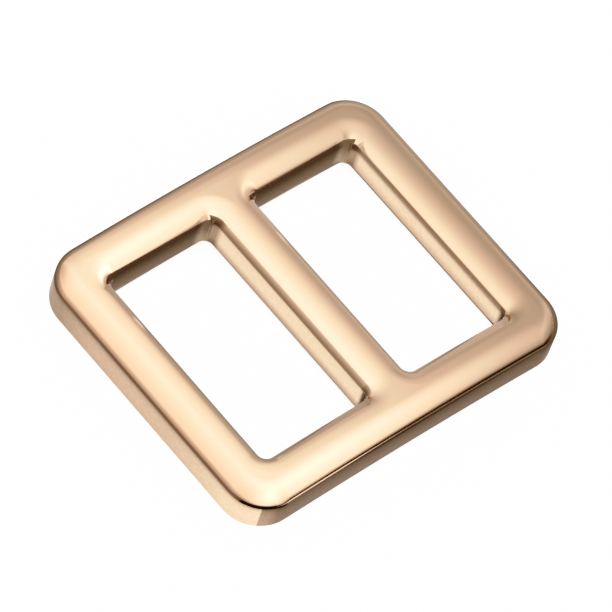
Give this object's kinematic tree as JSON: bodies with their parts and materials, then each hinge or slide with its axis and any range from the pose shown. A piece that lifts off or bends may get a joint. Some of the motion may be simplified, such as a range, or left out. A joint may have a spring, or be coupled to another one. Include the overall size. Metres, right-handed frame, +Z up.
{
  "type": "tri-glide slide",
  "caption": "Rectangular tri-glide strap slide: strap slots on both sides of a centre bar, rounded corners, crowned bars and a slight arch.",
  "frame": {"origin": "on the surface that the slide rests on, under the middle of the centre bar", "axes": "+X across the strap slots, along the long side; +Y along the centre bar; +Z up, out of the crowned face"},
  "size_m": [0.034, 0.028, 0.0044],
  "materials": {
    "plated_metal": "polished pale rose-gold plating on a zinc casting"
  },
  "bodies": {
    "root": {"slide_frame": "plated_metal"}
  },
  "joints": []
}
